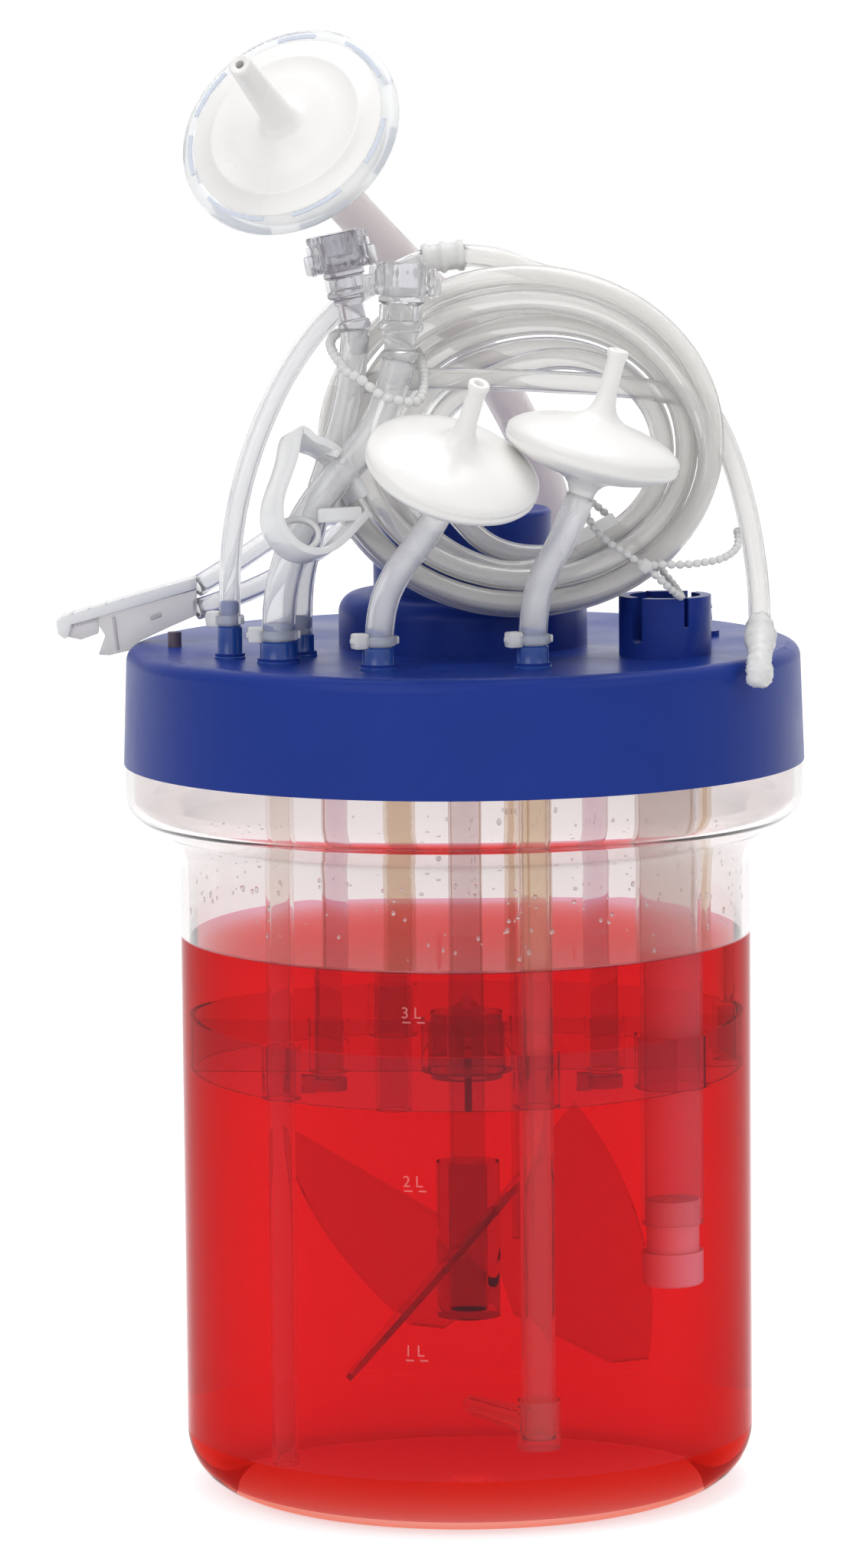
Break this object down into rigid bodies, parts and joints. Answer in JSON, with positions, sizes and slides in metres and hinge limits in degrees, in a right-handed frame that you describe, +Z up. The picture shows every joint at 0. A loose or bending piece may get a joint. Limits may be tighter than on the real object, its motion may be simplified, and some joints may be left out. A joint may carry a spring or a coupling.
{
  "type": "bench bioreactor",
  "caption": "Clear stirred bench bioreactor with a blue lid, magnetic drive turret, dip tubes, disc filters, line couplings and a tied coil of tubing.",
  "frame": {"origin": "centre of the vessel's base, on the surface that it stands on", "axes": "+Z up along the shaft, -Y towards the front, where the filters and the coil are"},
  "size_m": [0.2186, 0.2068, 0.427],
  "materials": {
    "clear_shell": "clear polycarbonate, glossy",
    "blue_lid": "glossy royal blue, lightly moulded",
    "dark_seal": "matt seal",
    "red_medium": "clear deep red liquid",
    "white_plastic": "natural white, satin",
    "filter_shell": "opaque white, soft gloss",
    "dark_plastic": "dark, satin",
    "grey_plastic": "grey, satin",
    "steel": "ground steel",
    "magnet": "nickel plated",
    "silicone": "translucent silicone, soft sheen",
    "clear_tubing": "clear flexible tubing",
    "hose": "translucent hose, soft sheen",
    "vent_shell": "translucent, glossy",
    "membrane": "white membrane",
    "coupling_shell": "smoky clear, glossy"
  },
  "bodies": {
    "vessel_assembly": {"base_dip_tube": "clear_shell", "bearing_housing": "grey_plastic", "bearing_spacer": "grey_plastic", "coil_fitting": "white_plastic", "coil_lead": "clear_tubing", "coil_tail": "clear_tubing", "culture_medium": "red_medium", "deck_plug": "dark_plastic", "drive_turret": "blue_lid", "feed_dip_tube": "clear_shell", "front_filter": "filter_shell", "front_filter_line": "silicone", "gas_line": "silicone", "harvest_dip_tube": "clear_shell", "harvest_line": "silicone", "left_coupling": "coupling_shell", "left_support_rod": "dark_plastic", "left_tube_tie": "white_plastic", "level_dip_tube": "clear_shell", "lid": "blue_lid", "lid_seal": "dark_seal", "line_clamp": "white_plastic", "line_joiner": "white_plastic", "lower_back_line": "silicone", "lower_bearing_balls": "steel", "lower_bearing_outer": "steel", "lower_coil_tie": "white_plastic", "pinch_clamp": "white_plastic", "port_ties": "white_plastic", "right_coupling": "coupling_shell", "right_support_rod": "dark_plastic", "right_tube_tie": "white_plastic", "sample_line": "silicone", "sensor_sleeve": "clear_shell", "sensor_tip": "grey_plastic", "side_filter": "filter_shell", "side_filter_line": "silicone", "sparge_dip_tube": "clear_shell", "sparge_nozzle": "white_plastic", "steady_bush": "dark_plastic", "tail_plug": "white_plastic", "tube_brace": "white_plastic", "tubing_coil": "clear_tubing", "upper_back_line": "silicone", "upper_bearing_balls": "steel", "upper_bearing_outer": "steel", "upper_coil_tie": "white_plastic", "vent_filter_housing": "vent_shell", "vent_filter_membrane": "membrane", "vent_hose": "hose", "vessel": "clear_shell"},
    "rotor": {"shaft": "steel", "shaft_collar": "dark_plastic", "impeller": "white_plastic", "magnet_carrier": "dark_plastic", "drive_magnets": "magnet", "lower_bearing_inner": "steel", "upper_bearing_inner": "steel"},
    "left_lock": {"left_locking_ring": "coupling_shell"},
    "right_lock": {"right_locking_cap": "coupling_shell"}
  },
  "joints": [
    {"name": "rotor_spin", "type": "hinge", "parent": "vessel_assembly", "child": "rotor", "pos_m": [0, 0, 0.1], "axis": [0, 0, 1], "continuous": true},
    {"name": "left_ring_turn", "type": "hinge", "parent": "vessel_assembly", "child": "left_lock", "pos_m": [-0.03419, -0.04516, 0.36459], "axis": [-0.1903, 0.02, 0.9815], "range_deg": [0, 90]},
    {"name": "right_cap_turn", "type": "hinge", "parent": "vessel_assembly", "child": "right_lock", "pos_m": [-0.0165, -0.05428, 0.35697], "axis": [0.0499, 0.01, 0.9987], "range_deg": [0, 90]}
  ]
}
